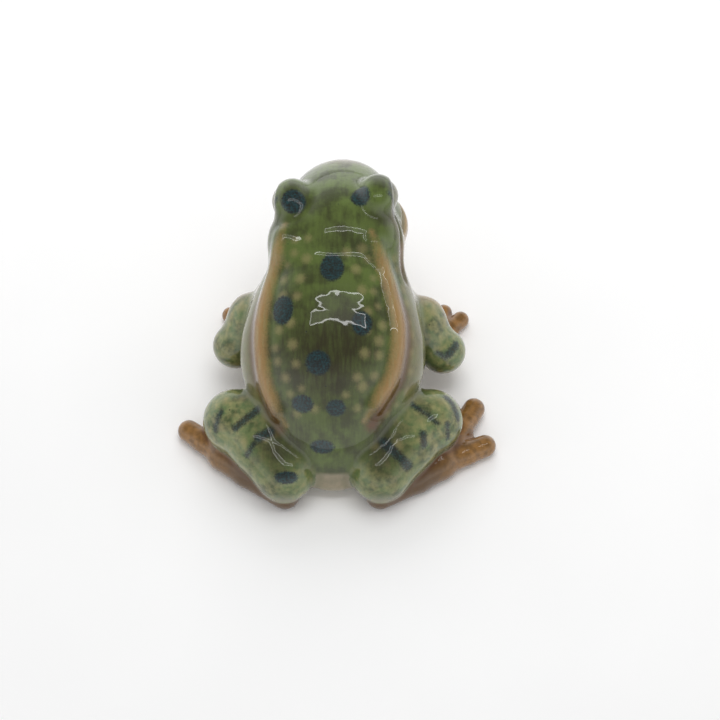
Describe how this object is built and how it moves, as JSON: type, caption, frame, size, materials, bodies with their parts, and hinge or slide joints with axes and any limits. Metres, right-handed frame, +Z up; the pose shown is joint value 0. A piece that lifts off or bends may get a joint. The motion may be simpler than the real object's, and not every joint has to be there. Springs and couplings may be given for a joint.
{
  "type": "ceramic frog figurine",
  "caption": "Small sitting frog ornament in glazed ceramic: hollow body with head, folded hind legs, spread feet, bent front legs and domed eyes. It rests on a flat base.",
  "frame": {"origin": "middle of the overall bounding box in plan, on the plane the frog sits on", "axes": "+Y towards the head, +Z up, +X to the frog's own right hand side"},
  "size_m": [0.0644, 0.0668, 0.0393],
  "materials": {
    "back_green": "clear gloss glaze over painted olive green",
    "leg_green": "clear gloss glaze over painted grey green",
    "foot_tan": "clear gloss glaze over painted tan",
    "eye_teal": "clear gloss glaze over painted dark teal"
  },
  "bodies": {
    "root": {"torso_shell": "back_green", "eye_left": "eye_teal", "eye_right": "eye_teal", "hind_leg_left": "leg_green", "hind_leg_right": "leg_green", "hind_foot_left": "foot_tan", "hind_foot_right": "foot_tan", "front_leg_left": "leg_green", "front_leg_right": "leg_green", "front_foot_left": "foot_tan", "front_foot_right": "foot_tan"}
  },
  "joints": []
}
